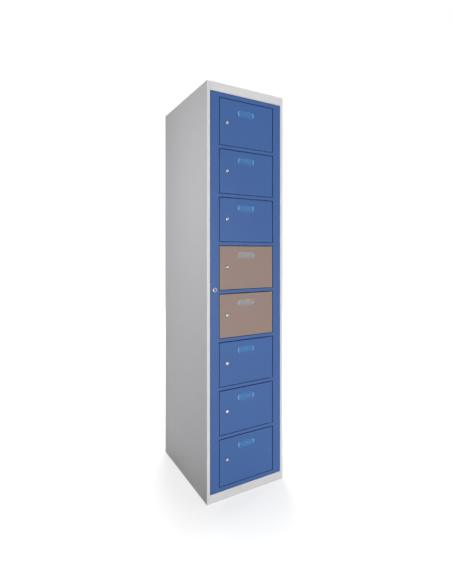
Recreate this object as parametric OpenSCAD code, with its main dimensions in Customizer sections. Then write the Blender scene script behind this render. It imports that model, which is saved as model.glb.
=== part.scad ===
// Steel locker for phones. Eight small lockable doors hang in one full-height master door,
// which hangs in a sheet steel cabinet with a shelf under each compartment.
// The origin is on the floor under the middle of the cabinet. The doors face -Y, the locks
// are on the left and the hinges on the right. At rest every door is shut and every lock is
// open, with its cam hanging down; a quarter turn of a lock swings its cam behind its lip.

/* [Cabinet] */
// Overall width
cabinet_w = 400; // [340:1:600]
// Overall depth, from the face of the doors to the back
cabinet_d = 500; // [200:1:700]
// Overall height
cabinet_h = 1800; // [1500:1:2100]
// Thickness of the cabinet sheet
panel_t = 1; // [0.7:0.1:1.5]
// Width of each front post
post_w = 15; // [12:0.5:30]
// Height of the rail above the master door
top_rail_h = 38; // [25:1:60]
// Height of the plinth below the master door
plinth_h = 38; // [30:1:80]
// Depth of the flat part of the top rail and the plinth
rail_flat_d = 34; // [28:1:60]
// Width of the strips that hold the back panel
rear_strip_w = 15; // [8:1:30]
// Reach of the left post's plate behind the master door
keeper_w = 7; // [5:0.5:10]

/* [Shelves] */
// Distance of the shelves' front edges behind the face of the doors
shelf_setback = 26; // [25:0.5:60]
// Height of the flanges folded down at the sides of the shelves, roof and floor
side_flange_h = 14; // [8:1:15]

/* [Wall fixing] */
// Radius of the two screw holes in the back panel
wall_hole_r = 3.5; // [2:0.5:6]
// Distance between the two screw holes
wall_hole_pitch = 260; // [100:1:280]
// Distance of the screw holes below the top
wall_hole_drop = 100; // [60:1:200]

/* [Master door] */
// Gap around the master door
master_gap = 1.5; // [1.3:0.1:3]
// Depth of the master door
frame_d = 18; // [17:0.5:19]
// Thickness of the master door's sheet
frame_t = 1.2; // [0.8:0.1:1.5]
// Width of the stile on the lock side
lock_stile_w = 42.25; // [38:0.25:60]
// Width of the stile on the hinge side
hinge_stile_w = 40.5; // [30:0.5:60]
// Height of the master door's head, above the first small door
head_h = 19.25; // [12:0.25:40]
// Height of the master door's foot, below the last small door
foot_h = 17.25; // [12:0.25:40]
// Height of the rails between small doors
mid_rail_h = 15; // [15:0.5:30]
// Reach of the lock stile's lip behind the small doors
stop_lip_w = 8; // [4:0.5:12]
// Distance of the master door's hinge axis from its edge
master_pivot_in = 12; // [11:0.5:16]
// Radius of the master door's pivot pins
master_pin_r = 3; // [2:0.1:3.2]
// Length of each master pivot pin inside the door
master_pin_reach = 8; // [4:0.5:15]
// Height of the master lock above the floor
master_lock_z = 909.5; // [800:0.5:1000]
// Distance of the master lock's axis from the door's edge
master_lock_in = 20.5; // [18:0.5:24]

/* [Small doors] */
// Number of small doors
door_count = 8; // [5:1:9]
// Gap between a small door and the lock stile
lock_side_gap = 2; // [1.5:0.1:4]
// Gap between a small door and the hinge stile
hinge_side_gap = 3.3; // [1.5:0.1:4]
// Gap above each small door
door_top_gap = 3; // [1.5:0.1:4]
// Gap below each small door
door_foot_gap = 1.8; // [1.5:0.1:4]
// Thickness of the small doors' sheet
door_t = 1; // [0.7:0.1:1.5]
// How much taller the first and last small doors are
end_door_extra = 12; // [0:1:40]
// Distance of the small doors' hinge axis from their edge
door_pivot_in = 8; // [7:0.5:12]
// Radius of the small doors' pivot pins
door_pin_r = 2.5; // [1.5:0.1:3]
// Length of each pivot pin inside a small door
door_pin_reach = 4.5; // [3:0.5:10]
// Distance of the lock's axis from the small door's edge
lock_in = 37; // [30:0.5:50]
// Distance of the lock's axis below the small door's top edge
lock_drop = 92; // [80:0.5:110]

/* [Label holders] */
// Length of a label holder
label_w = 88; // [60:1:110]
// Height of a label holder
label_h = 28; // [20:1:34]
// Thickness of a label holder
label_t = 1.5; // [1:0.1:3]
// Width of the rim around the label's pocket
label_rim = 3.5; // [2:0.5:6]
// Depth of the label's pocket
label_pocket = 0.6; // [0.3:0.1:0.8]
// Distance of the label holder's middle from the lock edge of the small door
label_in = 133.5; // [120:0.5:150]
// Distance of the label holder's middle below the small door's top edge
label_drop = 41; // [35:0.5:60]

/* [Locks] */
// Radius of a small lock's head
lock_head_r = 9; // [8.5:0.1:11]
// Height of a small lock's head in front of its door
lock_head_h = 2.5; // [1.5:0.1:4]
// Radius of a small lock's barrel
lock_barrel_r = 7.5; // [7:0.1:8]
// Radius of a small lock's plug
lock_plug_r = 5.5; // [5.2:0.1:6]
// Radius of the master lock's head
master_head_r = 10.5; // [10:0.1:13]
// Height of the master lock's head in front of its door
master_head_h = 3; // [2:0.1:5]
// Radius of the master lock's barrel
master_barrel_r = 9; // [8:0.1:9.5]
// Radius of the master lock's plug
master_plug_r = 6.5; // [5.5:0.1:7]
// Thickness of the cams
cam_t = 2; // [1.5:0.1:2.5]
// Width of the cams
cam_w = 14; // [12:0.5:16]
// How far a turned cam reaches behind its lip
cam_hold = 7; // [3:0.5:8]
// Thickness of the lock nuts
nut_t = 3.5; // [2.5:0.5:5]
// Width that a lock nut adds around its barrel
nut_wall = 2.5; // [2:0.1:4]
// Width of the key slots
key_slot_w = 1.8; // [1.2:0.1:2.5]
// Height of the key slots
key_slot_h = 7.5; // [5:0.5:8]
// Depth of the key slots
key_slot_d = 4; // [1:0.5:8]
// Side of the square at the rear of a plug
cam_square = 6; // [5:0.1:6.2]
// Radius of the cam screws
cam_screw_r = 1.5; // [1:0.1:2]

/* [Hidden] */
$fn = 64;
// Clearances: a running fit, a loose hole, a moving face, a cam behind its lip
fit = 0.05;
loose = 0.1;
seat = 0.3;
cam_gap = 0.5;
// How far a cut runs past the face that it opens
past = 1;
// Sheet between a pivot pin and the face of its door
pin_cover = 0.8;
collar_ring = 2;
shoulder = 1;
tail_len = 4;
screw_head_h = 1.6;
screw_head_ring = 2.2;
screw_len = 6;
screw_room = 1;
head_chamfer = 0.6;
front = -cabinet_d / 2;
rear = cabinet_d / 2;
half_w = cabinet_w / 2;
inner_x = half_w - panel_t;
open_x = half_w - post_w;
open_top = cabinet_h - top_rail_h;
back_face = rear - 2 * panel_t;
shelf_front = front + shelf_setback;
keeper_y = front + frame_d + seat;
// Master door
master_x = open_x - master_gap;
master_top = open_top - master_gap;
master_bottom = plinth_h + master_gap;
master_h = master_top - master_bottom;
master_axis_x = master_x - master_pivot_in;
master_axis_y = front + frame_t + master_pin_r + pin_cover;
master_lock_x = -master_x + master_lock_in;
frame_back = front + frame_d;
rail_back = frame_back - frame_t;
// Small doors
window_left = -master_x + lock_stile_w;
window_right = master_x - hinge_stile_w;
rails_between = (door_count - 1) * mid_rail_h;
windows_h = master_h - head_h - foot_h - rails_between - 2 * end_door_extra;
window_h = windows_h / door_count;
door_left = window_left + lock_side_gap;
door_right = window_right - hinge_side_gap;
door_back = rail_back - seat;
door_axis_x = door_right - door_pivot_in;
door_axis_y = front + door_t + door_pin_r + pin_cover;
lock_x = door_left + lock_in;
label_x = door_left + label_in;
// Locks, measured from the face of the door
lock_end = frame_d;
master_lock_end = frame_d + seat + panel_t;
lock_reach = lock_x - window_left - stop_lip_w + cam_hold;
master_lock_reach = master_lock_x + open_x - keeper_w + cam_hold;
cabinet_grey = "#d2d2cf";
door_blue = "#4a69a0";
door_taupe = "#99877f";
taupe_doors = [4, 5];
chrome = "#c9ccd1";
zinc = "#9a9c9e";
clear_plastic = "#8fb4dc";

function is_end(k) = k == 1 || k == door_count;
function window_top(k) = master_top - head_h - (k - 1) * (window_h + mid_rail_h)
    - (k > 1 ? end_door_extra : 0);
function window_bottom(k) = window_top(k) - window_h - (is_end(k) ? end_door_extra : 0);
// The first door's extra height is above its lock and label, the last door's is below them
function face_top(k) = window_top(k) - door_top_gap - (k == 1 ? end_door_extra : 0);
function lock_z(k) = face_top(k) - lock_drop;
function label_z(k) = face_top(k) - label_drop;
// Rail k lies under door k, and rail 0 is the head of the master door
function rail_top(k) = k == 0 ? master_top : window_bottom(k);
function rail_bottom(k) = k == door_count ? master_bottom : window_top(k + 1);
function numbered(name) = [for (k = [1 : door_count]) str(name, "_", k)];

// A box between two corners
module block(low, high) {
    translate(low) cube(high - low);
}

// An upright rod from one height to another
module upright(r, low, high) {
    translate([0, 0, low]) cylinder(r = r, h = high - low);
}

// A level rod along Y, from one depth to another
module rod(r, near, far, near_r = 0) {
    translate([0, near, 0])
        rotate([-90, 0, 0])
            cylinder(r1 = near_r == 0 ? r : near_r, r2 = r, h = far - near);
}

// A side panel is one sheet: a wall, with the front post folded from it. The post's return
// stands beside the master door.
module side_panel() {
    block([-half_w, front, 0], [-inner_x, rear, cabinet_h]);
    block([-inner_x, front, 0], [-open_x, front + panel_t, cabinet_h]);
    block([-open_x - panel_t, front + panel_t, 0], [-open_x, keeper_y, cabinet_h - panel_t]);
}

module left_side_panel() {
    color(cabinet_grey) side_panel();
}

module right_side_panel() {
    color(cabinet_grey) mirror([1, 0, 0]) side_panel();
}

// A plate closes the back of each post. The left one reaches behind the master door, and
// the turned master cam lies behind that lip.
module post_plates() {
    color(cabinet_grey) {
        block([-inner_x, keeper_y, plinth_h], [-open_x + keeper_w, keeper_y + panel_t, open_top]);
        block([open_x, keeper_y, plinth_h], [inner_x, keeper_y + panel_t, open_top]);
    }
}

// A strip welded inside the rear edge of each wall, which the back panel is fixed to
module rear_strips() {
    color(cabinet_grey)
        for (side = [0, 1])
            mirror([side, 0, 0])
                block([-inner_x, rear - panel_t, 0],
                    [-inner_x + rear_strip_w, rear, cabinet_h - panel_t]);
}

module back_panel() {
    color(cabinet_grey)
        difference() {
            block([-inner_x, back_face, 0], [inner_x, rear - panel_t, cabinet_h - panel_t]);
            for (side = [-1, 1])
                translate([side * wall_hole_pitch / 2, 0, cabinet_h - wall_hole_drop])
                    rod(wall_hole_r, back_face - past, rear);
        }
}

// A flat sheet from the back panel forwards, with a flange folded down along each side wall
module tray(near, top) {
    block([-inner_x, near, top - panel_t], [inner_x, back_face, top]);
    for (side = [0, 1])
        mirror([side, 0, 0])
            block([-inner_x, near + panel_t, top - side_flange_h],
                [-inner_x + panel_t, back_face, top - panel_t]);
}

// The roof runs from the faces of the posts and the top rail to the back, between the walls
module roof_panel() {
    color(cabinet_grey) {
        tray(front + rail_flat_d, cabinet_h);
        block([-inner_x, front + panel_t, cabinet_h - panel_t], [inner_x, rear, cabinet_h]);
    }
}

// The floor lies under the flat part of the plinth
module floor_panel() {
    color(cabinet_grey) tray(shelf_front, plinth_h - panel_t);
}

// The front rails are folded sheet: a face between the posts, with a flat part behind it
module top_rail() {
    color(cabinet_grey)
        difference() {
            union() {
                block([-open_x, front, open_top], [open_x, front + panel_t, cabinet_h]);
                block([-open_x, front + panel_t, open_top],
                    [open_x, front + rail_flat_d, open_top + panel_t]);
            }
            translate([master_axis_x, master_axis_y, 0])
                upright(master_pin_r, open_top - past, open_top + panel_t + past);
        }
}

module plinth_rail() {
    color(cabinet_grey)
        difference() {
            union() {
                block([-open_x, front, 0], [open_x, front + panel_t, plinth_h]);
                block([-open_x, front + panel_t, plinth_h - panel_t],
                    [open_x, front + rail_flat_d, plinth_h]);
            }
            translate([master_axis_x, master_axis_y, 0])
                upright(master_pin_r, plinth_h - panel_t - past, plinth_h + past);
        }
}

// Each shelf lies level with the top of the rail in front of it, and its front edge is
// folded down as far as that rail
module shelves() {
    color(cabinet_grey)
        for (k = [1 : door_count - 1]) {
            tray(shelf_front, rail_top(k));
            block([-inner_x, shelf_front, rail_top(k) - mid_rail_h],
                [inner_x, shelf_front + panel_t, rail_top(k) - panel_t]);
        }
}

// The lower pin has a collar, which carries the master door
module master_pivot_pins() {
    color(zinc)
        translate([master_axis_x, master_axis_y, 0]) {
            upright(master_pin_r, master_top - master_pin_reach, open_top + panel_t);
            upright(master_pin_r + collar_ring, open_top + panel_t, open_top + 2 * panel_t);
            upright(master_pin_r, plinth_h - panel_t, master_bottom + master_pin_reach);
            upright(master_pin_r + collar_ring, plinth_h, master_bottom - seat);
            upright(master_pin_r + collar_ring, plinth_h - 2 * panel_t, plinth_h - panel_t);
        }
}

// A channel of the master door, open at the back, closed at the ends
module stile(left, right, cap_t) {
    difference() {
        block([left, front, master_bottom], [right, frame_back, master_top]);
        block([left + frame_t, front + frame_t, master_bottom + cap_t],
            [right - frame_t, frame_back + past, master_top - cap_t]);
    }
}

module master_lock_stile() {
    color(door_blue)
        difference() {
            union() {
                stile(-master_x, window_left, frame_t);
                block([window_left, rail_back, master_bottom],
                    [window_left + stop_lip_w, frame_back, master_top]);
            }
            translate([master_lock_x, front, master_lock_z])
                rod(master_barrel_r + loose, -past, frame_t + past);
        }
}

module master_hinge_stile() {
    color(door_blue)
        difference() {
            stile(window_right, master_x, 2 * frame_t);
            translate([master_axis_x, master_axis_y, 0])
                upright(master_pin_r + fit, master_bottom - past, master_top + past);
        }
}

// Rails run from stile to stile. Their backs lie against the lip of the lock stile.
module master_rails() {
    color(door_blue)
        for (k = [0 : door_count])
            difference() {
                block([window_left, front, rail_bottom(k)],
                    [window_right, rail_back, rail_top(k)]);
                block([window_left - past, front + frame_t, rail_bottom(k) + frame_t],
                    [window_right + past, rail_back + past, rail_top(k) - frame_t]);
                translate([door_axis_x, door_axis_y, 0])
                    upright(door_pin_r, rail_bottom(k) - past, rail_top(k) + past);
            }
}

// One pin through each rail serves the doors above and below it. Its collar stands on the
// rail and carries the door above.
module door_pivot_pins() {
    color(zinc)
        translate([door_axis_x, door_axis_y, 0])
            for (k = [0 : door_count]) {
                low = k == door_count ? rail_top(k) - frame_t : rail_bottom(k) - door_top_gap;
                high = k == 0 ? rail_bottom(k) + frame_t : rail_top(k) + door_foot_gap;
                upright(door_pin_r, low - door_pin_reach, high + door_pin_reach);
                if (k > 0)
                    upright(door_pin_r + collar_ring, rail_top(k), high - seat);
            }
}

// A small door is a tray of sheet, open at the back, with a bore in its top and bottom
// edges for the pivot pins
module compartment_door(k) {
    low = window_bottom(k) + door_foot_gap;
    high = window_top(k) - door_top_gap;
    is_taupe = len(search(k, taupe_doors)) > 0;
    color(is_taupe ? door_taupe : door_blue)
        difference() {
            block([door_left, front, low], [door_right, door_back, high]);
            block([door_left + door_t, front + door_t, low + door_t],
                [door_right - door_t, door_back + past, high - door_t]);
            translate([door_axis_x, door_axis_y, 0])
                upright(door_pin_r + fit, low - past, high + past);
            translate([lock_x, front, lock_z(k)])
                rod(lock_barrel_r + loose, -past, door_t + past);
        }
}

// A plate with round ends, and a shallow pocket for the label
module label_holder(k) {
    straight = label_w / 2 - label_h / 2;
    color(clear_plastic)
        translate([label_x, front - label_t, label_z(k)])
            difference() {
                union() {
                    block([-straight, 0, -label_h / 2], [straight, label_t, label_h / 2]);
                    for (side = [-1, 1])
                        translate([side * straight, 0, 0]) rod(label_h / 2, 0, label_t);
                }
                block([-straight, -past, label_rim - label_h / 2],
                    [straight, label_pocket, label_h / 2 - label_rim]);
            }
}

// The housing's head lies on the door's face. Its bore narrows at the rear, which keeps the
// plug in. The hexagon nut behind the sheet is a solid of its own.
module lock_body(head_r, head_h, barrel_r, plug_r, end, sheet_t) {
    flat = 2 * (barrel_r + nut_wall);
    difference() {
        union() {
            rod(head_r, head_chamfer - head_h, 0);
            rod(head_r, -head_h, head_chamfer - head_h, head_r - head_chamfer);
            rod(barrel_r, 0, end);
        }
        rod(plug_r + fit, -head_h - past, end - tail_len);
        rod(plug_r - shoulder + fit, end - tail_len - past, end + past);
    }
    difference() {
        translate([0, sheet_t, 0])
            rotate([-90, 0, 0])
                cylinder(d = flat / cos(30), h = nut_t, $fn = 6);
        rod(barrel_r + fit, sheet_t - past, sheet_t + nut_t + past);
    }
}

// The plug has the key slot in front, and the square for the cam behind
module lock_core(head_h, plug_r, end) {
    far = end + cam_gap + cam_t;
    difference() {
        union() {
            rod(plug_r, seat - head_h, end - tail_len - seat);
            rod(plug_r - shoulder, end - tail_len - seat, end + cam_gap);
            translate([-cam_square / 2, far - cam_t, -cam_square / 2])
                cube([cam_square, cam_t, cam_square]);
        }
        translate([-key_slot_w / 2, -head_h, -key_slot_h / 2])
            cube([key_slot_w, key_slot_d, key_slot_h]);
        rod(cam_screw_r + loose, far - screw_len - screw_room, far + past);
    }
}

// A flat cam on the plug's square, hanging down, with the screw that holds it
module cam_and_screw(reach, end) {
    near = end + cam_gap;
    far = near + cam_t;
    hole = cam_square + 2 * fit;
    difference() {
        union() {
            rod(cam_w / 2, near, far);
            block([-cam_w / 2, near, -reach], [cam_w / 2, far, 0]);
        }
        translate([-hole / 2, near - past, -hole / 2])
            cube([hole, cam_t + 2 * past, hole]);
    }
    rod(cam_screw_r, far - screw_len, far + fit);
    rod(cam_screw_r + screw_head_ring, far + fit, far + screw_head_h);
}

module at_lock(k) {
    translate([lock_x, front, lock_z(k)]) children();
}

module at_master_lock() {
    translate([master_lock_x, front, master_lock_z]) children();
}

module lock_housing(k) {
    color(chrome)
        at_lock(k)
            lock_body(lock_head_r, lock_head_h, lock_barrel_r, lock_plug_r, lock_end, door_t);
}

module lock_plug(k) {
    color(chrome) at_lock(k) lock_core(lock_head_h, lock_plug_r, lock_end);
}

module lock_cam(k) {
    color(zinc) at_lock(k) cam_and_screw(lock_reach, lock_end);
}

module master_lock_housing() {
    color(chrome)
        at_master_lock()
            lock_body(master_head_r, master_head_h, master_barrel_r, master_plug_r,
                master_lock_end, frame_t);
}

module master_lock_plug() {
    color(chrome) at_master_lock() lock_core(master_head_h, master_plug_r, master_lock_end);
}

module master_lock_cam() {
    color(zinc) at_master_lock() cam_and_screw(master_lock_reach, master_lock_end);
}

left_side_panel();
right_side_panel();
post_plates();
rear_strips();
back_panel();
roof_panel();
floor_panel();
top_rail();
plinth_rail();
shelves();
master_pivot_pins();
master_lock_stile();
master_hinge_stile();
master_rails();
door_pivot_pins();
master_lock_housing();
master_lock_plug();
master_lock_cam();
for (k = [1 : door_count]) {
    compartment_door(k);
    label_holder(k);
    lock_housing(k);
    lock_plug(k);
    lock_cam(k);
}
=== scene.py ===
import math

import bmesh
import bpy
from mathutils import Matrix, Vector


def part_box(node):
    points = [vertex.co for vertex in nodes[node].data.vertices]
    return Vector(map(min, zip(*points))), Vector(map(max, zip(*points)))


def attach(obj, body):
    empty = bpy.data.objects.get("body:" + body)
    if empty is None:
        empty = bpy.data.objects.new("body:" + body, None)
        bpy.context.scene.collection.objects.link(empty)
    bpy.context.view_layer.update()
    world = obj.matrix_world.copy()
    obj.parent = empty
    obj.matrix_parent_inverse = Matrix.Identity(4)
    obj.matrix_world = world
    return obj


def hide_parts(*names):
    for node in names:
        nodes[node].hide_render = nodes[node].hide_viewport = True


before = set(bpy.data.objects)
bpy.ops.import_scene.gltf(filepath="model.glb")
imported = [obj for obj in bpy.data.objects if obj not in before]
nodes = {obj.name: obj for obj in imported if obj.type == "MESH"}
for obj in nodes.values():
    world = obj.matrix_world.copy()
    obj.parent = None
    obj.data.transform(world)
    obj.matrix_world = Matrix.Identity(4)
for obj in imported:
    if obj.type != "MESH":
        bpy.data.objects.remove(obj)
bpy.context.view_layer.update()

# Every length is in metres, and every place on the part is taken from the frame.
MM = 0.001
DOOR_COUNT = sum(name.startswith("compartment_door_") for name in nodes)
TAUPE_DOORS = (4, 5)
BLUE_DOORS = [number for number in range(1, DOOR_COUNT + 1) if number not in TAUPE_DOORS]

# Sheet metal: its thickness, the outside radius of its folds and the rounding of its edges
CABINET_SHEET = 1.0 * MM
FRAME_SHEET = 1.2 * MM
DOOR_SHEET = 1.0 * MM
CABINET_FOLD = 1.8 * MM
FRAME_FOLD = 1.6 * MM
DOOR_FOLD = 1.5 * MM
FOLD_STEPS = 4
EDGE_ROUND = 0.25 * MM

# An edge is rounded if its faces turn by more than SHARP_TURN. On a sheet that is thickened,
# only the cut edges are, whose faces turn by more than CUT_EDGE_TURN.
SHARP_TURN = math.radians(35)
CUT_EDGE_TURN = math.radians(60)

# Points of a mesh that are nearer than this become one
JOIN_DISTANCE = 0.002 * MM

# The space that a piece leaves to the one it lies behind or stands inside
SEAT = 0.3 * MM

# Small doors: the gaps above and below them, and the lip round the back of their edges
DOOR_TOP_GAP = 3.0 * MM
DOOR_FOOT_GAP = 1.8 * MM
RETURN_LIP = 4.5 * MM
LIP_MITRE = 0.4 * MM

# Label holders. A frosted end lies between two arcs: END_SHIFT is how far the inner one's
# middle lies towards the holder's middle, and END_SPREAD is half the turn of the outer one.
LABEL_RIM = 2.0 * MM
LABEL_CHAMFER = 0.35 * MM
WINDOW_DEPTH = 0.5 * MM
END_SHIFT = 9.5 * MM
END_SPREAD = math.radians(77)
ARC_STEPS = 16

# Holes: how much larger they are than what goes through them, the pivot pins' radii, and the
# length of the drill
RUNNING_FIT = 0.05 * MM
LOCK_HOLE_FIT = 0.1 * MM
DOOR_PIN_R = 2.5 * MM
MASTER_PIN_R = 3 * MM
DRILL_LENGTH = 4 * MM

# Locks: a small one and the master's. The end is how far behind the door's face the barrel
# ends, and the sheet is how thick the door is.
TURN_STEPS = 48
SMALL_LOCK = dict(head_r=9 * MM, head_h=2.5 * MM, barrel_r=7.5 * MM, plug_r=5.5 * MM,
                  end=18 * MM, sheet=DOOR_SHEET)
MASTER_LOCK = dict(head_r=10.5 * MM, head_h=3 * MM, barrel_r=9 * MM, plug_r=6.5 * MM,
                   end=19.3 * MM, sheet=FRAME_SHEET)
HEAD_RIM_SHARE = 0.25
DOME_STEPS = 6
HEAD_MOUTH = 0.6 * MM
HEAD_MOUTH_DEPTH = 0.5 * MM
THREAD_PITCH = 1 * MM
THREAD_DEPTH = 0.3 * MM
THREAD_START = 0.5 * MM
NUT_WALL = 2.5 * MM
NUT_THICK = 3.5 * MM
NUT_CHAMFER = 1.1 * MM
NUT_CORNER = 0.6 * MM
NUT_MOUTH = 0.3 * MM
PLUG_TAIL = 4 * MM
PLUG_SHOULDER = 1 * MM
PLUG_CHAMFER = 0.35 * MM
PLUG_RIM = 1.1 * MM
PLUG_DISH_EDGE = 1.3 * MM
PLUG_DISH = 0.15 * MM

# Slots of the plug and the cam's screw: width, height and depth. A face is in the key slot if
# its corners lie within IN_SLOT times the slot's width and height from the middle.
KEY_SLOT = (1.8 * MM, 7.5 * MM, 4 * MM)
KEY_SLOT_MOUTH = 0.5 * MM
KEY_SLOT_MOUTH_DEPTH = 0.3 * MM
IN_SLOT = 0.51
SCREW_SLOT = (0.9 * MM, 5.4 * MM, 0.8 * MM)

# The cam and its screw. The screw's dome goes by shares of its head's radius and height.
CAM_GAP = 0.5 * MM
CAM_THICK = 2 * MM
CAM_WIDE = 14 * MM
CAM_CORNER = 2.5 * MM
CAM_CORNER_STEPS = 5
CAM_SQUARE = 6 * MM
SCREW_R = 1.5 * MM
SCREW_HEAD_R = 3.7 * MM
SCREW_HEAD_H = 1.6 * MM
SCREW_DOME = ((1.0, 0.4), (0.93, 0.75), (0.80, 1.0))
SCREW_LENGTH = 6 * MM

# How far the lock pieces' edges are rounded
TURNED_ROUND = 0.08 * MM
PLUG_ROUND = 0.05 * MM
CAM_ROUND = 0.3 * MM

# Colours, in linear light
GREY_PAINT = (0.683, 0.674, 0.692)
BLUE_PAINT = (0.039, 0.108, 0.310)
TAUPE_PAINT = (0.274, 0.196, 0.166)
CHROME_PLATE = (0.72, 0.74, 0.78)
# Satin chrome made darker than the plugs' chrome, partly as painted shade: the master lock's head
DIMMED_CHROME_PLATE = (0.38, 0.40, 0.45)
# Chrome made dark, as painted shade in its reflections: the small lock heads and the master lock's
# plug
DARKENED_CHROME_PLATE = (0.15, 0.155, 0.175)
ZINC_PLATE = (0.50, 0.51, 0.52)
# Steel made dark as painted shade, for the pivot pins that sit in the gaps
SHADED_PIN_STEEL = (0.13, 0.13, 0.135)
# A near-black metal that paints the shade inside the key slots
SLOT_SHADE_COLOUR = (0.035, 0.036, 0.045)
# A brownish grey that the cabinet's paint turns towards near the floor
NEAR_FLOOR_TONE = (0.33, 0.31, 0.28)

# The label holders' clear plastic and its frosted ends, which look bluer on the blue doors:
# their tint, and how much of the paint they cover
LABEL_ON_BLUE = ((0.03, 0.45, 0.84), 0.20)
LABEL_ON_TAUPE = ((0.315, 0.60, 0.74), 0.24)
LABEL_END_ON_BLUE = ((0.28, 0.54, 0.97), 0.52)
LABEL_END_ON_TAUPE = ((0.66, 0.48, 0.40), 0.34)

# Roughness of the paint, the clear plastic and its frosted ends, and how plastic bends light
PAINT_ROUGH = 0.48
CLEAR_ROUGH = 0.22
FROSTED_ROUGH = 0.40
PLASTIC_IOR = 1.49

# The levels between which a noise does its work: spread out, or with more contrast
SOFT_NOISE = (0.3, 0.7)
CRISP_NOISE = (0.35, 0.65)

# The colour sockets of a mix node
FIRST_COLOUR, SECOND_COLOUR, MIXED_COLOUR = 6, 7, 2

# Camera, solved from the corners of the cabinet in the photograph of 452 by 584 pixels
CAMERA_PLACE = (-0.920, -1.697, 1.072)
CAMERA_YAW = -29.3
CAMERA_LENS = 23.54
CAMERA_SHIFT_Y = -0.0685

# The room: how strongly it lights the locker, the direction of its dim side, and the cosines
# of the angles from there at which the dark ends and the light begins
ROOM_LIGHT = 0.15
DIM_SIDE = (-0.8, -0.6, 0.0)
DARK_END = 0.55
LIGHT_START = 0.25

# The floor: half its width, its shade, how much it glows under the locker, and the distances
# from there between which it turns plain white
HALF_FLOOR = 12.0
FLOOR_SHADE = 0.45
FLOOR_GLOW = 0.66
WHITE_START = 0.3
WHITE_END = 0.9

# Lamps: name, place, target, width and height, and power in watts
SOFTBOXES = (
    ("front_softbox", (0, -7.0, 0.3), (0, -0.25, 0.5), (2.2, 1.5), 500),
    ("upper_left_strip", (-1.0, -0.24, 1.48), (-0.2, -0.18, 1.44), (0.2, 0.90), 2.55),
    ("lower_left_strip", (-1.5, -0.06, 0.9), (-0.2, -0.06, 0.85), (0.22, 1.0), 3.2),
    ("right_strip", (1.5, 0.12, 1.1), (0.2, 0.12, 1.0), (0.25, 1.2), 7.0),
    ("top_softbox", (0.1, 0.4, 4.5), (0.05, 0.2, 1.8), (1.2, 1.2), 48),
    ("rear_softbox", (1.8, 4.5, 3.2), (0, 0.25, 1.0), (2.0, 2.0), 170),
)


# Places on the part

side_low, side_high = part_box("left_side_panel")
rails_low, rails_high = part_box("master_rails")
hinge_stile_low, hinge_stile_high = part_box("master_hinge_stile")
lock_stile_low, lock_stile_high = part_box("master_lock_stile")
FRONT = hinge_stile_low.y
FRAME_BACK = hinge_stile_high.y
REAR = side_high.y
HALF_WIDTH = -side_low.x
TOP = side_high.z
RAIL_BACK = rails_high.y
WINDOW_LEFT = rails_low.x
WINDOW_RIGHT = rails_high.x
OPENING_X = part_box("top_rail")[1].x
POST_BACK = FRAME_BACK + SEAT


# Shader groups

def shader_group(name, inputs, outputs):
    """An empty node group with named sockets, and its input and output nodes."""
    tree = bpy.data.node_groups.new(name, "ShaderNodeTree")
    for socket, value in inputs:
        made = tree.interface.new_socket(socket, in_out="INPUT", socket_type="NodeSocketFloat")
        made.default_value = value
    for socket in outputs:
        tree.interface.new_socket(socket, in_out="OUTPUT", socket_type="NodeSocketFloat")
    return tree, tree.nodes.new("NodeGroupInput"), tree.nodes.new("NodeGroupOutput")


def set_or_link(tree, socket, value):
    """Sets a socket to a number or a colour, or links another socket to it."""
    if isinstance(value, bpy.types.NodeSocket):
        tree.links.new(value, socket)
    elif isinstance(value, tuple):
        socket.default_value = (*value, 1.0)
    else:
        socket.default_value = value


def noise(tree, scale, detail, roughness=0.5):
    """A noise texture on the piece's own coordinates."""
    place = tree.nodes.new("ShaderNodeTexCoord")
    texture = tree.nodes.new("ShaderNodeTexNoise")
    tree.links.new(place.outputs["Object"], texture.inputs["Vector"])
    set_or_link(tree, texture.inputs["Scale"], scale)
    texture.inputs["Detail"].default_value = detail
    texture.inputs["Roughness"].default_value = roughness
    return texture.outputs["Fac"]


def math_node(tree, operation, first, second=0.0, clamp=False):
    node = tree.nodes.new("ShaderNodeMath")
    node.operation = operation
    node.use_clamp = clamp
    set_or_link(tree, node.inputs[0], first)
    set_or_link(tree, node.inputs[1], second)
    return node.outputs["Value"]


def remap(tree, value, from_low, from_high, to_low, to_high):
    node = tree.nodes.new("ShaderNodeMapRange")
    for socket, number in (("Value", value), ("From Min", from_low), ("From Max", from_high),
                           ("To Min", to_low), ("To Max", to_high)):
        set_or_link(tree, node.inputs[socket], number)
    return node.outputs["Result"]


def blend_colours(tree, factor, first, second):
    node = tree.nodes.new("ShaderNodeMix")
    node.data_type = "RGBA"
    set_or_link(tree, node.inputs["Factor"], factor)
    set_or_link(tree, node.inputs[FIRST_COLOUR], first)
    set_or_link(tree, node.inputs[SECOND_COLOUR], second)
    return node.outputs[MIXED_COLOUR]


def make_coat_grain():
    """Powder coat's fine orange peel, with slow clouds of tone and gloss and small specks."""
    inputs = [("Peel Scale", 700.0), ("Cloud Scale", 5.0), ("Speck Scale", 2200.0)]
    tree, given, put = shader_group("coat_grain", inputs, ["Peel", "Cloud", "Speck"])
    for socket, scale, detail in (("Peel", "Peel Scale", 2), ("Cloud", "Cloud Scale", 3),
                                  ("Speck", "Speck Scale", 1)):
        tree.links.new(noise(tree, given.outputs[scale], detail), put.inputs[socket])
    return tree


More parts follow.
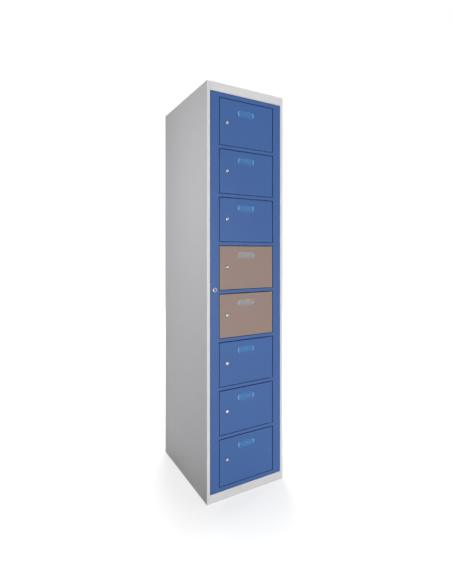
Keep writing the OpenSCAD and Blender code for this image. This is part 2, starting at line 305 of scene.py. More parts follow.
def make_edge_wear_and_highlight():
    """A mask of the edges in patches: wear from handling, and a painted highlight along the rounded
    edges.
    """
    inputs = [("Radius", 0.8 * MM), ("Amount", 0.5)]
    tree, given, put = shader_group("edge_wear_and_highlight", inputs, ["Mask"])
    surface = tree.nodes.new("ShaderNodeNewGeometry")
    rounded = tree.nodes.new("ShaderNodeBevel")
    rounded.samples = 4
    tree.links.new(given.outputs["Radius"], rounded.inputs["Radius"])
    turn = tree.nodes.new("ShaderNodeVectorMath")
    turn.operation = "DOT_PRODUCT"
    tree.links.new(surface.outputs["Normal"], turn.inputs[0])
    tree.links.new(rounded.outputs["Normal"], turn.inputs[1])
    # The cosine between the surface and its rounded form falls towards an edge
    edge = remap(tree, turn.outputs["Value"], 0.999, 0.85, 0.0, 1.0)
    patches = remap(tree, noise(tree, 60.0, 4, 0.6), 0.42, 0.62, 0.25, 1.0)
    worn_and_lit_edges = math_node(tree, "MULTIPLY", edge, patches)
    mask = math_node(tree, "MULTIPLY", worn_and_lit_edges, given.outputs["Amount"], clamp=True)
    tree.links.new(mask, put.inputs["Mask"])
    return tree


def make_darker_near_floor():
    """A mask that makes the lowest part of the cabinet darker, in streaks."""
    tree, given, put = shader_group("darker_near_floor", [("Height", 0.15), ("Amount", 0.3)], ["Mask"])
    place = tree.nodes.new("ShaderNodeTexCoord")
    parts = tree.nodes.new("ShaderNodeSeparateXYZ")
    tree.links.new(place.outputs["Object"], parts.inputs["Vector"])
    share = math_node(tree, "DIVIDE", parts.outputs["Z"], given.outputs["Height"])
    low = remap(tree, share, 0.0, 1.0, 1.0, 0.0)
    streaks = remap(tree, noise(tree, 35.0, 4, 0.6), 0.35, 0.7, 0.4, 1.0)
    low_darkening = math_node(tree, "MULTIPLY", low, streaks)
    mask = math_node(tree, "MULTIPLY", low_darkening, given.outputs["Amount"], clamp=True)
    tree.links.new(mask, put.inputs["Mask"])
    return tree


def make_fine_scratches():
    """The mottle and the fine scratches of plated or turned metal."""
    inputs = [("Scratch Scale", 300.0), ("Mottle Scale", 900.0)]
    tree, given, put = shader_group("fine_scratches", inputs, ["Scratch", "Mottle"])
    tree.links.new(noise(tree, given.outputs["Scratch Scale"], 6, 0.7), put.inputs["Scratch"])
    tree.links.new(noise(tree, given.outputs["Mottle Scale"], 3), put.inputs["Mottle"])
    return tree


coat_grain = make_coat_grain()
edge_wear_and_highlight = make_edge_wear_and_highlight()
darker_near_floor = make_darker_near_floor()
fine_scratches = make_fine_scratches()


# Materials

def new_material(name):
    material = bpy.data.materials.new(name)
    material.use_nodes = True
    tree = material.node_tree
    return material, tree, tree.nodes["Principled BSDF"]


def placed(tree, group, **values):
    """Places a shader group in a material, with its own values."""
    node = tree.nodes.new("ShaderNodeGroup")
    node.node_tree = group
    for socket, value in values.items():
        node.inputs[socket.replace("_", " ")].default_value = value
    return node.outputs


def bump(tree, shader, height, strength, distance):
    node = tree.nodes.new("ShaderNodeBump")
    node.inputs["Strength"].default_value = strength
    node.inputs["Distance"].default_value = distance
    tree.links.new(height, node.inputs["Height"])
    tree.links.new(node.outputs["Normal"], shader.inputs["Normal"])


def shaded(colour, times, plus=0.0):
    """A colour made darker or lighter."""
    return tuple(times * channel + plus for channel in colour)


def powder_coat(name, colour, worn_and_lit_edges=0.35, darkened_low=0.0):
    """Textured powder coat on steel, with pale specks, edges changed in tone in patches, partly as
    wear and partly as a painted highlight, and a darker tone near the floor.
    """
    material, tree, shader = new_material(name)
    deep, pale = shaded(colour, 0.965), shaded(colour, 1.035)
    speck_shade = shaded(colour, 1.25, 0.01)
    worn_and_lit_edge_tone = shaded(colour, 0.75, 0.12)
    grain = placed(tree, coat_grain)
    base = blend_colours(tree, grain["Cloud"], deep, pale)
    speck = remap(tree, grain["Speck"], *CRISP_NOISE, 0.0, 0.08)
    base = blend_colours(tree, speck, base, speck_shade)
    edge_marks = placed(tree, edge_wear_and_highlight, Amount=worn_and_lit_edges)
    # Along the edges the paint turns towards a mid tone: wear, and a painted highlight that
    # lightens the dark paints
    base = blend_colours(tree, edge_marks["Mask"], base, worn_and_lit_edge_tone)
    # The lowest part is made darker and browner, in streaks
    if darkened_low:
        low_darkening = placed(tree, darker_near_floor, Amount=darkened_low)
        base = blend_colours(tree, low_darkening["Mask"], base, NEAR_FLOOR_TONE)
    tree.links.new(base, shader.inputs["Base Color"])
    rough = remap(tree, grain["Cloud"], *SOFT_NOISE, PAINT_ROUGH - 0.04, PAINT_ROUGH + 0.05)
    tree.links.new(rough, shader.inputs["Roughness"])
    shader.inputs["Specular IOR Level"].default_value = 0.35
    bump(tree, shader, grain["Peel"], strength=0.22, distance=0.08 * MM)
    return material


def plated_metal(name, colour, rough, mottled=0.15, scratch_scale=300.0):
    """Plated or bare metal, with fine scratches and a little mottling."""
    material, tree, shader = new_material(name)
    shader.inputs["Metallic"].default_value = 1.0
    marks = placed(tree, fine_scratches, Scratch_Scale=scratch_scale)
    patches = remap(tree, marks["Mottle"], *CRISP_NOISE, 0.0, mottled)
    base = blend_colours(tree, patches, colour, shaded(colour, 0.6))
    tree.links.new(base, shader.inputs["Base Color"])
    changing = remap(tree, marks["Scratch"], *SOFT_NOISE, rough * 0.75, rough * 1.4)
    tree.links.new(changing, shader.inputs["Roughness"])
    bump(tree, shader, marks["Scratch"], strength=0.08, distance=0.02 * MM)
    return material


def clear_plastic(name, colour, cover, rough):
    """Moulded clear plastic with a slight tint. Only its outer side is seen."""
    material, tree, shader = new_material(name)
    haze = noise(tree, 120.0, 3)
    clouds = remap(tree, haze, *SOFT_NOISE, 0.0, 0.4)
    base = blend_colours(tree, clouds, colour, shaded(colour, 0.85))
    tree.links.new(base, shader.inputs["Base Color"])
    side = tree.nodes.new("ShaderNodeNewGeometry")
    outer = math_node(tree, "SUBTRACT", 1.0, side.outputs["Backfacing"])
    hazy = remap(tree, haze, *SOFT_NOISE, cover * 0.92, cover * 1.08)
    tree.links.new(math_node(tree, "MULTIPLY", outer, hazy), shader.inputs["Alpha"])
    changing = remap(tree, haze, *SOFT_NOISE, rough * 0.8, rough * 1.2)
    tree.links.new(changing, shader.inputs["Roughness"])
    shader.inputs["IOR"].default_value = PLASTIC_IOR
    bump(tree, shader, haze, strength=0.05, distance=0.05 * MM)
    return material


GREY = powder_coat("grey_powder_coat", GREY_PAINT, worn_and_lit_edges=0.25, darkened_low=0.18)
BLUE = powder_coat("blue_powder_coat", BLUE_PAINT)
TAUPE = powder_coat("taupe_powder_coat", TAUPE_PAINT)
CHROME = plated_metal("polished_chrome", CHROME_PLATE, rough=0.22, mottled=0.08,
                      scratch_scale=400.0)
SATIN_CHROME_DIMMED = plated_metal("satin_chrome_dimmed_as_shade", DIMMED_CHROME_PLATE, rough=0.26, mottled=0.10)
CHROME_WITH_PAINTED_SHADE = plated_metal("chrome_with_painted_shade", DARKENED_CHROME_PLATE, rough=0.26)
ZINC = plated_metal("zinc_plate", ZINC_PLATE, rough=0.36, mottled=0.35)
PIN_STEEL_WITH_PAINTED_SHADE = plated_metal("pin_steel_with_painted_shade", SHADED_PIN_STEEL, rough=0.45, mottled=0.3)
PAINTED_SLOT_SHADE = plated_metal("key_slot_painted_shade", SLOT_SHADE_COLOUR, rough=0.5)
BLUE_LABEL = clear_plastic("label_window_on_blue", *LABEL_ON_BLUE, CLEAR_ROUGH)
TAUPE_LABEL = clear_plastic("label_window_on_taupe", *LABEL_ON_TAUPE, CLEAR_ROUGH)
BLUE_LABEL_END = clear_plastic("label_end_on_blue", *LABEL_END_ON_BLUE, FROSTED_ROUGH)
TAUPE_LABEL_END = clear_plastic("label_end_on_taupe", *LABEL_END_ON_TAUPE, FROSTED_ROUGH)


# Mesh tools

def add_piece(name, mesh, material, body, place=(0, 0, 0), stands_for=()):
    """Puts a mesh in the scene as a piece of the object, which rides on a body. A mesh that
    has its finish already keeps it."""
    piece = bpy.data.objects.new(name, mesh)
    bpy.context.scene.collection.objects.link(piece)
    piece.location = place
    if not mesh.materials:
        mesh.materials.append(material)
    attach(piece, body)
    if stands_for:
        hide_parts(*stands_for)
    return piece


def mesh_from(name, bm):
    """Finishes a bmesh: joins equal points, smooths every face and makes the mesh."""
    bmesh.ops.remove_doubles(bm, verts=bm.verts, dist=JOIN_DISTANCE)
    for face in bm.faces:
        face.smooth = True
    mesh = bpy.data.meshes.new(name)
    bm.to_mesh(mesh)
    bm.free()
    return mesh


def closed_mesh_from(name, bm):
    """Turns every face of a closed shape outwards, then makes the mesh."""
    bmesh.ops.recalc_face_normals(bm, faces=bm.faces)
    return mesh_from(name, bm)


def shell_mesh_from(name, bm):
    """Turns a shell that is open at the back to face the front, then makes the mesh."""
    bmesh.ops.recalc_face_normals(bm, faces=bm.faces)
    if sum(face.normal.y * face.calc_area() for face in bm.faces) > 0:
        bmesh.ops.reverse_faces(bm, faces=bm.faces)
    return mesh_from(name, bm)


def keep_faces_flat(piece):
    piece.modifiers.new("flat_faces", "WEIGHTED_NORMAL").keep_sharp = True


def bevel(piece, name, width, segments, sharp):
    """Rounds the edges whose faces turn by more than a given angle."""
    edges = piece.modifiers.new(name, "BEVEL")
    edges.width = width
    edges.segments = segments
    edges.limit_method = "ANGLE"
    edges.angle_limit = sharp


def round_edges(piece, width, segments=2, sharp=SHARP_TURN):
    """Rounds a piece's sharp edges and keeps its flat faces flat."""
    bevel(piece, "round_edges", width, segments, sharp)
    keep_faces_flat(piece)


def thicken(piece, thickness):
    """Thickens a sheet inwards from its outer face, and rounds its cut edges."""
    sheet = piece.modifiers.new("sheet", "SOLIDIFY")
    sheet.thickness = thickness
    sheet.offset = -1
    sheet.use_even_offset = True
    round_edges(piece, EDGE_ROUND, segments=1, sharp=CUT_EDGE_TURN)


def fold_and_thicken(piece, fold, thickness):
    """Rounds the folds of a sheet's outer face, then thickens the sheet."""
    bevel(piece, "folds", fold, FOLD_STEPS, SHARP_TURN)
    thicken(piece, thickness)


def drill_holes(piece, holes):
    """Cuts round holes through a finished sheet: the middle, axis and radius of each. The
    sheet's modifiers are applied first, and its flat faces are kept flat again after."""
    bm = bmesh.new()
    for middle, axis, radius in holes:
        turn = Vector(axis).to_track_quat("Z", "Y").to_matrix().to_4x4()
        bmesh.ops.create_cone(bm, cap_ends=True, segments=TURN_STEPS, radius1=radius,
                              radius2=radius, depth=DRILL_LENGTH,
                              matrix=Matrix.Translation(middle) @ turn)
    drill = bpy.data.objects.new("drill", closed_mesh_from("drill", bm))
    bpy.context.scene.collection.objects.link(drill)
    piece.modifiers.remove(piece.modifiers["flat_faces"])
    piece.modifiers.new("holes", "BOOLEAN").object = drill
    shapes = bpy.context.evaluated_depsgraph_get()
    drilled = bpy.data.meshes.new_from_object(piece.evaluated_get(shapes))
    piece.modifiers.clear()
    piece.data = drilled
    keep_faces_flat(piece)
    bpy.data.objects.remove(drill)


def sheet_holes(lock_plug, lock, pins, pin_r, bottom, top, thickness):
    """The holes of a door: its lock's, and one for a pivot pin at its foot and at its top."""
    plug_low, plug_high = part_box(lock_plug)
    pins_low, pins_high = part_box(pins)
    middle = (plug_low + plug_high) / 2
    pin = (pins_low + pins_high) / 2
    lock_hole = ((middle.x, FRONT + thickness / 2, middle.z), (0, 1, 0),
                 lock["barrel_r"] + LOCK_HOLE_FIT)
    pin_holes = [((pin.x, pin.y, height), (0, 0, 1), pin_r + RUNNING_FIT)
                 for height in (bottom + thickness / 2, top - thickness / 2)]
    return [lock_hole, *pin_holes]


def quad(bm, *corners):
    return bm.faces.new([bm.verts.new(corner) for corner in corners])


def loft(bm, loops, joined=False, capped=True):
    """Skins a row of loops, which all have the same number of points. The row joins up with
    itself, or has a flat face on its last loop, and on its first one too if it is capped."""
    rings = [[bm.verts.new(point) for point in loop] for loop in loops]
    count = len(rings[0])
    following = rings[1:] + rings[:1] if joined else rings[1:]
    for ring, next_ring in zip(rings, following):
        for i in range(count):
            j = (i + 1) % count
            bm.faces.new((ring[i], ring[j], next_ring[j], next_ring[i]))
    if joined:
        return
    bm.faces.new(rings[-1])
    if capped:
        bm.faces.new(list(reversed(rings[0])))


# The cabinet

def folded_path(points, radius):
    """A path seen from above, with an arc of a given radius at each of its square corners."""
    path = [Vector(points[0])]
    for before, corner, after in zip(points, points[1:], points[2:]):
        corner = Vector(corner)
        back = (Vector(before) - corner).normalized()
        on = (Vector(after) - corner).normalized()
        for step in range(FOLD_STEPS + 1):
            angle = math.radians(90 * step / FOLD_STEPS)
            path.append(corner + radius * (back + on - on * math.cos(angle)
                                           - back * math.sin(angle)))
    return path + [Vector(points[-1])]


def make_side_panel(name, side):
    """A side wall with the front post folded from it, and the post's return beside the door.
    The return ends below the roof, and above it the post's face runs on to its edge."""
    under_roof = TOP - CABINET_SHEET
    wall, post = side * HALF_WIDTH, side * OPENING_X
    corners = [(wall, REAR), (wall, FRONT), (post, FRONT), (post, POST_BACK)]
    full = folded_path(corners, CABINET_FOLD)
    upper = folded_path(corners[:3], CABINET_FOLD)
    post_fold = len(upper) - 1
    upper.insert(post_fold, full[post_fold])
    bm = bmesh.new()
    for path, low, high in ((full, 0, under_roof), (upper, under_roof, TOP)):
        for start, end in zip(path, path[1:]):
            strip = [(*start, low), (*end, low), (*end, high), (*start, high)]
            quad(bm, *(strip if side < 0 else reversed(strip)))
    piece = add_piece(name + "_sheet", mesh_from(name, bm), GREY, "cabinet",
                      stands_for=[name])
    thicken(piece, CABINET_SHEET)


def dress_node(name, material):
    """Gives a CAD node its finish and softens its edges."""
    piece = nodes[name]
    piece.data.materials.clear()
    piece.data.materials.append(material)
    round_edges(piece, EDGE_ROUND)


def make_cabinet():
    make_side_panel("left_side_panel", side=-1)
    make_side_panel("right_side_panel", side=1)
    for name in ("post_plates", "rear_strips", "back_panel", "roof_panel", "floor_panel",
                 "top_rail", "plinth_rail", "shelves"):
        dress_node(name, GREY)
    dress_node("master_pivot_pins", PIN_STEEL_WITH_PAINTED_SHADE)


# The master door

def make_master_door():
    """One sheet: a face with a window for each small door, edges folded back, and a lip
    behind the lock side of each window."""
    left, right = lock_stile_low.x, hinge_stile_high.x
    bottom, top = hinge_stile_low.z, hinge_stile_high.z
    windows = []
    for number in range(1, DOOR_COUNT + 1):
        door_low, door_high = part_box(f"compartment_door_{number}")
        windows.append((door_low.z - DOOR_FOOT_GAP, door_high.z + DOOR_TOP_GAP))
    across = [left, WINDOW_LEFT, WINDOW_RIGHT, right]
    up = sorted([bottom, top] + [height for window in windows for height in window])
    bm = bmesh.new()
    for x0, x1 in zip(across, across[1:]):
        for z0, z1 in zip(up, up[1:]):
            if x0 != WINDOW_LEFT or (z0, z1) not in windows:
                quad(bm, (x0, FRONT, z0), (x1, FRONT, z0), (x1, FRONT, z1), (x0, FRONT, z1))
        quad(bm, (x0, FRONT, top), (x1, FRONT, top), (x1, FRAME_BACK, top), (x0, FRAME_BACK, top))
        quad(bm, (x1, FRONT, bottom), (x0, FRONT, bottom), (x0, FRAME_BACK, bottom),
             (x1, FRAME_BACK, bottom))
    for z0, z1 in zip(up, up[1:]):
        quad(bm, (left, FRAME_BACK, z0), (left, FRONT, z0),
             (left, FRONT, z1), (left, FRAME_BACK, z1))
        quad(bm, (right, FRONT, z0), (right, FRAME_BACK, z0),
             (right, FRAME_BACK, z1), (right, FRONT, z1))
    lip = lock_stile_high.x
    for z0, z1 in windows:
        quad(bm, (WINDOW_LEFT, FRONT, z0), (WINDOW_LEFT, RAIL_BACK, z0),
             (WINDOW_LEFT, RAIL_BACK, z1), (WINDOW_LEFT, FRONT, z1))
        quad(bm, (WINDOW_LEFT, RAIL_BACK, z0), (lip, RAIL_BACK, z0),
             (lip, RAIL_BACK, z1), (WINDOW_LEFT, RAIL_BACK, z1))
        quad(bm, (WINDOW_RIGHT, RAIL_BACK, z0), (WINDOW_RIGHT, FRONT, z0),
             (WINDOW_RIGHT, FRONT, z1), (WINDOW_RIGHT, RAIL_BACK, z1))
        quad(bm, (WINDOW_LEFT, FRONT, z0), (WINDOW_RIGHT, FRONT, z0),
             (WINDOW_RIGHT, RAIL_BACK, z0), (WINDOW_LEFT, RAIL_BACK, z0))
        quad(bm, (WINDOW_RIGHT, FRONT, z1), (WINDOW_LEFT, FRONT, z1),
             (WINDOW_LEFT, RAIL_BACK, z1), (WINDOW_RIGHT, RAIL_BACK, z1))
    piece = add_piece("master_door_sheet", mesh_from("master_door_sheet", bm), BLUE,
                      "master_door",
                      stands_for=["master_lock_stile", "master_hinge_stile", "master_rails"])
    fold_and_thicken(piece, FRAME_FOLD, FRAME_SHEET)
    drill_holes(piece, sheet_holes("master_lock_plug", MASTER_LOCK, "master_pivot_pins",
                                   MASTER_PIN_R, bottom, top, FRAME_SHEET))
    dress_node("door_pivot_pins", PIN_STEEL_WITH_PAINTED_SHADE)


# The small doors

def make_small_door(number):
    """A tray of sheet: a face, four edges folded back, and a lip turned inwards behind every
    edge but the hinge side's, which has none."""
    name = f"compartment_door_{number}"
    (left, near, bottom), (right, far, top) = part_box(name)
    corners = [Vector((left, bottom)), Vector((right, bottom)),
               Vector((right, top)), Vector((left, top))]
    inwards = [Vector((0, 1)), None, Vector((0, -1)), Vector((1, 0))]
    bm = bmesh.new()
    quad(bm, *((corner.x, near, corner.y) for corner in corners))
    for i, inward in enumerate(inwards):
        start, end = corners[i], corners[(i + 1) % 4]
        quad(bm, (start.x, near, start.y), (start.x, far, start.y),
             (end.x, far, end.y), (end.x, near, end.y))
        if inward is None:
            continue
        along = (end - start).normalized() * (RETURN_LIP + LIP_MITRE)
        inner_start = start + inward * RETURN_LIP + along
        inner_end = end + inward * RETURN_LIP - along
        quad(bm, (start.x, far, start.y), (inner_start.x, far, inner_start.y),
             (inner_end.x, far, inner_end.y), (end.x, far, end.y))
    paint, slot = (TAUPE, "door_taupe") if number in TAUPE_DOORS else (BLUE, "door_blue")
    piece = add_piece(name + "_sheet", mesh_from(name, bm), paint, f"small_door_{number}",
                      stands_for=[name])
    fold_and_thicken(piece, DOOR_FOLD, DOOR_SHEET)
    drill_holes(piece, sheet_holes(f"lock_plug_{number}", SMALL_LOCK, "door_pivot_pins",
                                   DOOR_PIN_R, bottom, top, DOOR_SHEET))


# The label holders

def round_ended(length, height, inset, y):
    """The outline of a plate with round ends, seen from the front, at a depth y."""
    radius = height / 2 - inset
    straight = (length - height) / 2
    points = []
    for side, first in ((1, -90), (-1, 90)):
        for step in range(ARC_STEPS + 1):
            angle = math.radians(first + 180 * step / ARC_STEPS)
            points.append((side * straight + radius * math.cos(angle), y, radius * math.sin(angle)))
    return points


def label_plate_mesh(length, height, thick):
    """The holder's clear plate: round ends, a raised rim with softened edges, and a window
    that lies a little below the rim. It is open at the back, where it lies on the door."""
    bm = bmesh.new()
    loft(bm, [
        round_ended(length, height, 0, 0),
        round_ended(length, height, 0, LABEL_CHAMFER - thick),
        round_ended(length, height, LABEL_CHAMFER, -thick),
        round_ended(length, height, LABEL_RIM - LABEL_CHAMFER, -thick),
        round_ended(length, height, LABEL_RIM, LABEL_CHAMFER - thick),
        round_ended(length, height, LABEL_RIM, WINDOW_DEPTH - thick),
    ], capped=False)
    return shell_mesh_from("label_holder_shell", bm)


def crescent(middle, height, inset, side, y):
    """The outline of a holder's frosted end: the arc of its round end, and back along a wider
    arc further in, which ends at the same heights."""
    radius = height / 2 - inset
    inner_radius = height / 2 + inset
    inner_spread = math.asin(radius * math.sin(END_SPREAD) / inner_radius)
    points = []
    for step in range(ARC_STEPS + 1):
        angle = END_SPREAD * (2 * step / ARC_STEPS - 1)
        points.append((radius * math.cos(angle), radius * math.sin(angle)))
    for step in range(ARC_STEPS + 1):
        angle = inner_spread * (1 - 2 * step / ARC_STEPS)
        points.append((inner_radius * math.cos(angle) - END_SHIFT, inner_radius * math.sin(angle)))
    return [(side * (middle + x), y, z) for x, z in points]


def label_end_mesh(length, height, thick, side):
    """A frosted end, which stands on the holder's window as high as its rim."""
    middle = (length - height) / 2
    bm = bmesh.new()
    loft(bm, [
        crescent(middle, height, LABEL_RIM, side, WINDOW_DEPTH - thick),
        crescent(middle, height, LABEL_RIM, side, LABEL_CHAMFER - thick),
        crescent(middle, height, LABEL_RIM + LABEL_CHAMFER, side, -thick),
    ], capped=False)
    return shell_mesh_from(f"label_end_{'left' if side < 0 else 'right'}", bm)


def make_label_holders(numbers, clear, frosted):
    """The holders of the doors of one colour, which share their meshes."""
    low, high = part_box("label_holder_1")
    size = (high.x - low.x, high.z - low.z, high.y - low.y)
    plate = label_plate_mesh(*size)
    ends = [("left", label_end_mesh(*size, side=-1)), ("right", label_end_mesh(*size, side=1))]
    for number in numbers:
        low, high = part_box(f"label_holder_{number}")
        place = ((low.x + high.x) / 2, high.y, (low.z + high.z) / 2)
        body = f"small_door_{number}"
        add_piece(f"label_plate_{number}", plate, clear, body, place,
                  stands_for=[f"label_holder_{number}"])
        for side, end in ends:
            add_piece(f"label_end_{side}_{number}", end, frosted, body, place)


# The locks. Their pieces are turned about the Y axis, and y is the depth behind the door's face.

def turn_angles():
    return [2 * math.pi * i / TURN_STEPS for i in range(TURN_STEPS)]


def circle(radius, y):
    return [(radius * math.cos(angle), y, radius * math.sin(angle)) for angle in turn_angles()]


def rectangle(width, height, y, angles=None):
    """A rectangle with as many points as a circle, some of them at its corners."""
    points = []
    for angle in angles or turn_angles():
        reach = 1 / max(abs(math.cos(angle)), abs(math.sin(angle)))
        points.append((reach * math.cos(angle) * width / 2, y,
                       reach * math.sin(angle) * height / 2))
    return points


def hexagon(flats, y, cut=0.0):
    """A hexagon with as many points as a circle, and its corners cut by a cone."""
    points = []
    for angle in turn_angles():
        off_flat = angle % (math.pi / 3) - math.pi / 6
        radius = min(flats / 2 / math.cos(off_flat), flats / 2 / math.cos(math.pi / 6) - cut)
        points.append((radius * math.cos(angle), y, radius * math.sin(angle)))
    return points


def housing_mesh(name, lock):
    """The housing: a domed head in front of the door, and a threaded barrel behind it."""
    head_r, head_h, barrel_r, end = lock["head_r"], lock["head_h"], lock["barrel_r"], lock["end"]
    bore_r = lock["plug_r"] + RUNNING_FIT
    thread_r = barrel_r - THREAD_DEPTH
    rim = HEAD_RIM_SHARE * head_h
    dome = head_h - rim
    profile = [(barrel_r, 0), (head_r, 0), (head_r, -rim)]
    for step in range(1, DOME_STEPS + 1):
        angle = math.radians(90 * step / DOME_STEPS)
        profile.append((head_r - dome * (1 - math.cos(angle)), -rim - dome * math.sin(angle)))
    profile += [(bore_r + HEAD_MOUTH, -head_h), (bore_r, -head_h + HEAD_MOUTH_DEPTH)]
    profile += [(bore_r, end - PLUG_TAIL), (bore_r - PLUG_SHOULDER, end - PLUG_TAIL)]
    profile += [(bore_r - PLUG_SHOULDER, end), (thread_r, end)]
    first = lock["sheet"] + THREAD_START
    depth = end - THREAD_PITCH / 2
    while depth > first + THREAD_PITCH:
        profile += [(barrel_r, depth), (thread_r, depth - THREAD_PITCH / 2)]
        depth -= THREAD_PITCH
    profile.append((barrel_r, first))
    bm = bmesh.new()
    loft(bm, [circle(radius, y) for radius, y in profile], joined=True)
    return closed_mesh_from(name, bm)


def nut_mesh(name, lock):
    """The hexagon nut that clamps the housing to the sheet."""
    hole = lock["barrel_r"] + RUNNING_FIT
    flats = 2 * (lock["barrel_r"] + NUT_WALL)
    near = lock["sheet"]
    far = near + NUT_THICK
    bm = bmesh.new()
    loft(bm, [
        circle(hole, near),
        hexagon(flats, near, NUT_CHAMFER),
        hexagon(flats, near + NUT_CORNER),
        hexagon(flats, far - NUT_CORNER),
        hexagon(flats, far, NUT_CHAMFER),
        circle(hole + NUT_MOUTH, far),
        circle(hole, far - NUT_MOUTH),
    ], joined=True)
    return closed_mesh_from(name, bm)


def plug_mesh(name, lock, finish):
    """The plug: a dished face with the key slot, painted near black inside as its shade, and behind
    it the square for the cam.
    """
    radius = lock["plug_r"]
    face = SEAT - lock["head_h"]
    dish = face + PLUG_DISH
    step = lock["end"] - PLUG_TAIL - SEAT
    seat = lock["end"] + CAM_GAP
    width, height, depth = KEY_SLOT
    bm = bmesh.new()
    loft(bm, [
        rectangle(CAM_SQUARE, CAM_SQUARE, seat + CAM_THICK),
        rectangle(CAM_SQUARE, CAM_SQUARE, seat),
        circle(radius - PLUG_SHOULDER, seat),
        circle(radius - PLUG_SHOULDER, step),
        circle(radius, step),
        circle(radius, face + PLUG_CHAMFER),
        circle(radius - PLUG_CHAMFER, face),
        circle(radius - PLUG_RIM, face),
        circle(radius - PLUG_DISH_EDGE, dish),
        rectangle(width + KEY_SLOT_MOUTH, height + KEY_SLOT_MOUTH, dish),
        rectangle(width, height, dish + KEY_SLOT_MOUTH_DEPTH),
        rectangle(width, height, face + depth),
    ])
    # The faces inside the key slot take the painted shade
    for side in bm.faces:
        if all(abs(corner.co.x) < IN_SLOT * width and abs(corner.co.z) < IN_SLOT * height
               and corner.co.y < depth for corner in side.verts):
            side.material_index = 1
    plug = closed_mesh_from(name, bm)
    plug.materials.append(finish)
    plug.materials.append(PAINTED_SLOT_SHADE)
    return plug


def cam_outline(reach):
    """The cam seen from the front: round at the top, with two rounded corners below."""
    half = CAM_WIDE / 2
    outline = [(half * math.cos(angle), half * math.sin(angle))
               for angle in turn_angles()[:TURN_STEPS // 2 + 1]]
    outline.append((-half, -half))
    for middle, first in ((CAM_CORNER - half, 180), (half - CAM_CORNER, 270)):
        for step in range(CAM_CORNER_STEPS + 1):
            angle = math.radians(first + 90 * step / CAM_CORNER_STEPS)
            outline.append((middle + CAM_CORNER * math.cos(angle),
                            CAM_CORNER - reach + CAM_CORNER * math.sin(angle)))
    outline.append((half, -half))
    return outline


def cam_mesh(name, lock, reach):
    """The cam: a flat plate that hangs down from the plug's square."""
    near = lock["end"] + CAM_GAP
    far = near + CAM_THICK
    outline = cam_outline(reach)
    angles = [math.atan2(z, x) for x, z in outline]
    hole = CAM_SQUARE + 2 * RUNNING_FIT
    bm = bmesh.new()
    loft(bm, [
        [(x, near, z) for x, z in outline],
        [(x, far, z) for x, z in outline],
        rectangle(hole, hole, far, angles),
        rectangle(hole, hole, near, angles),
    ], joined=True)
    return closed_mesh_from(name, bm)


def cam_screw_mesh(name, lock):
    """The screw that holds the cam, with a domed and slotted head."""
    seat = lock["end"] + CAM_GAP + CAM_THICK
    top = seat + SCREW_HEAD_H
    width, height, depth = SCREW_SLOT
    bm = bmesh.new()
    loft(bm, [
        circle(SCREW_R, seat - SCREW_LENGTH),
        circle(SCREW_R, seat + RUNNING_FIT),
        circle(SCREW_HEAD_R, seat + RUNNING_FIT),
        *(circle(out * SCREW_HEAD_R, seat + up * SCREW_HEAD_H) for out, up in SCREW_DOME),
        rectangle(width, height, top),
        rectangle(width, height, top - depth),
    ])
    return closed_mesh_from(name, bm)


def lock_meshes(name, lock, plug_finish, cam_node):
    """The meshes of one kind of lock. The reach of its cam is measured on the CAD cam."""
    low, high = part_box(cam_node)
    reach = high.z - low.z - CAM_WIDE / 2
    return dict(
        housing=housing_mesh(name + "_housing_turned", lock),
        nut=nut_mesh(name + "_nut", lock),
        plug=plug_mesh(name + "_plug_turned", lock, plug_finish),
        cam=cam_mesh(name + "_cam_plate", lock, reach),
        screw=cam_screw_mesh(name + "_cam_screw", lock),
    )


def make_lock(name, suffix, meshes, head_finish, door_body, lock_body):
    """A lock in its place: housing and nut ride on the door, plug, cam and screw turn."""
    low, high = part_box(f"{name}_plug{suffix}")
    place = ((low.x + high.x) / 2, FRONT, (low.z + high.z) / 2)
    head = add_piece(f"{name}_head{suffix}", meshes["housing"], head_finish, door_body,
                     place, stands_for=[f"{name}_housing{suffix}"])
    nut = add_piece(f"{name}_nut{suffix}", meshes["nut"], ZINC, door_body, place)
    core = add_piece(f"{name}_core{suffix}", meshes["plug"], None, lock_body,
                     place, stands_for=[f"{name}_plug{suffix}"])
    plate = add_piece(f"{name}_cam_plate{suffix}", meshes["cam"], ZINC, lock_body,
                      place, stands_for=[f"{name}_cam{suffix}"])
    screw = add_piece(f"{name}_cam_screw{suffix}", meshes["screw"], ZINC, lock_body,
                      place)
    for piece, width in ((head, TURNED_ROUND), (nut, TURNED_ROUND), (core, PLUG_ROUND),
                         (plate, CAM_ROUND), (screw, TURNED_ROUND)):
        round_edges(piece, width, segments=1)


def make_locks():
    small = lock_meshes("small_lock", SMALL_LOCK, CHROME, "lock_cam_1")
    # The small heads and the master's plug are chrome darkened as painted shade
    for number in range(1, DOOR_COUNT + 1):
        make_lock("lock", f"_{number}", small, CHROME_WITH_PAINTED_SHADE,
                  f"small_door_{number}", f"small_lock_{number}")
    master = lock_meshes("master_lock", MASTER_LOCK, CHROME_WITH_PAINTED_SHADE, "master_lock_cam")
    make_lock("master_lock", "", master, SATIN_CHROME_DIMMED, "master_door", "master_lock")


# The studio

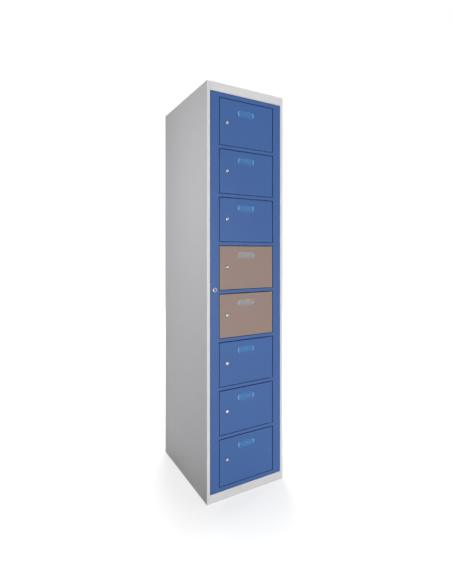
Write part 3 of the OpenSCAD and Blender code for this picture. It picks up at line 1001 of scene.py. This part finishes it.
def make_floor():
    """A plain floor. It glows so that it looks white, and less near the locker, where it keeps
    the locker's shadow."""
    half = HALF_FLOOR
    bm = bmesh.new()
    quad(bm, (-half, -half, 0), (half, -half, 0), (half, half, 0), (-half, half, 0))
    mesh = mesh_from("studio_floor", bm)
    floor = bpy.data.objects.new("studio_floor", mesh)
    bpy.context.scene.collection.objects.link(floor)
    material, tree, shader = new_material("white_floor")
    shader.inputs["Base Color"].default_value = (FLOOR_SHADE, FLOOR_SHADE, FLOOR_SHADE, 1)
    shader.inputs["Roughness"].default_value = 0.9
    shader.inputs["Specular IOR Level"].default_value = 0.1
    shader.inputs["Emission Color"].default_value = (1, 1, 1, 1)
    ray = tree.nodes.new("ShaderNodeLightPath")
    seen = math_node(tree, "MAXIMUM", ray.outputs["Is Camera Ray"], ray.outputs["Is Glossy Ray"])
    seen = math_node(tree, "MAXIMUM", seen, ray.outputs["Is Transmission Ray"])
    place = tree.nodes.new("ShaderNodeTexCoord")
    distance = tree.nodes.new("ShaderNodeVectorMath")
    distance.operation = "LENGTH"
    tree.links.new(place.outputs["Object"], distance.inputs[0])
    glowing = remap(tree, distance.outputs["Value"], WHITE_START, WHITE_END, FLOOR_GLOW, 1.0)
    tree.links.new(math_node(tree, "MULTIPLY", seen, glowing), shader.inputs["Emission Strength"])
    mesh.materials.append(material)


def make_room():
    """The studio's soft light and its white backdrop. In metal the room is white too, but dim
    on the locker's front left, so that its chrome has light and dark in it."""
    world = bpy.data.worlds.new("studio")
    bpy.context.scene.world = world
    world.use_nodes = True
    tree = world.node_tree
    background = tree.nodes["Background"]
    background.inputs["Color"].default_value = (1, 1, 1, 1)
    ray = tree.nodes.new("ShaderNodeLightPath")
    direction = tree.nodes.new("ShaderNodeTexCoord")
    toward_dim_side = tree.nodes.new("ShaderNodeVectorMath")
    toward_dim_side.operation = "DOT_PRODUCT"
    tree.links.new(direction.outputs["Generated"], toward_dim_side.inputs[0])
    toward_dim_side.inputs[1].default_value = DIM_SIDE
    bright = remap(tree, toward_dim_side.outputs["Value"], DARK_END, LIGHT_START, 0.0, 1.0)
    in_metal = math_node(tree, "MULTIPLY", ray.outputs["Is Glossy Ray"], bright)
    seen = math_node(tree, "MAXIMUM", ray.outputs["Is Camera Ray"], in_metal)
    seen = math_node(tree, "MAXIMUM", seen, ray.outputs["Is Transmission Ray"])
    tree.links.new(remap(tree, seen, 0.0, 1.0, ROOM_LIGHT, 1.0), background.inputs["Strength"])


def make_softbox(name, place, target, size, power):
    light = bpy.data.lights.new(name, "AREA")
    light.shape = "RECTANGLE"
    light.size, light.size_y = size
    light.energy = power
    lamp = bpy.data.objects.new(name, light)
    bpy.context.scene.collection.objects.link(lamp)
    lamp.location = place
    lamp.rotation_euler = (Vector(target) - Vector(place)).to_track_quat("-Z", "Y").to_euler()


def make_camera():
    camera = bpy.data.cameras.new("camera")
    camera.lens = CAMERA_LENS
    camera.shift_y = CAMERA_SHIFT_Y
    holder = bpy.data.objects.new("camera", camera)
    bpy.context.scene.collection.objects.link(holder)
    holder.location = CAMERA_PLACE
    holder.rotation_euler = (math.radians(90), 0, math.radians(CAMERA_YAW))
    bpy.context.scene.camera = holder


def make_studio():
    make_camera()
    make_room()
    make_floor()
    for softbox in SOFTBOXES:
        make_softbox(*softbox)
    bpy.context.scene.view_settings.view_transform = "Standard"


make_cabinet()
make_master_door()
for door_number in range(1, DOOR_COUNT + 1):
    make_small_door(door_number)
make_label_holders(BLUE_DOORS, BLUE_LABEL, BLUE_LABEL_END)
make_label_holders(TAUPE_DOORS, TAUPE_LABEL, TAUPE_LABEL_END)
make_locks()
make_studio()
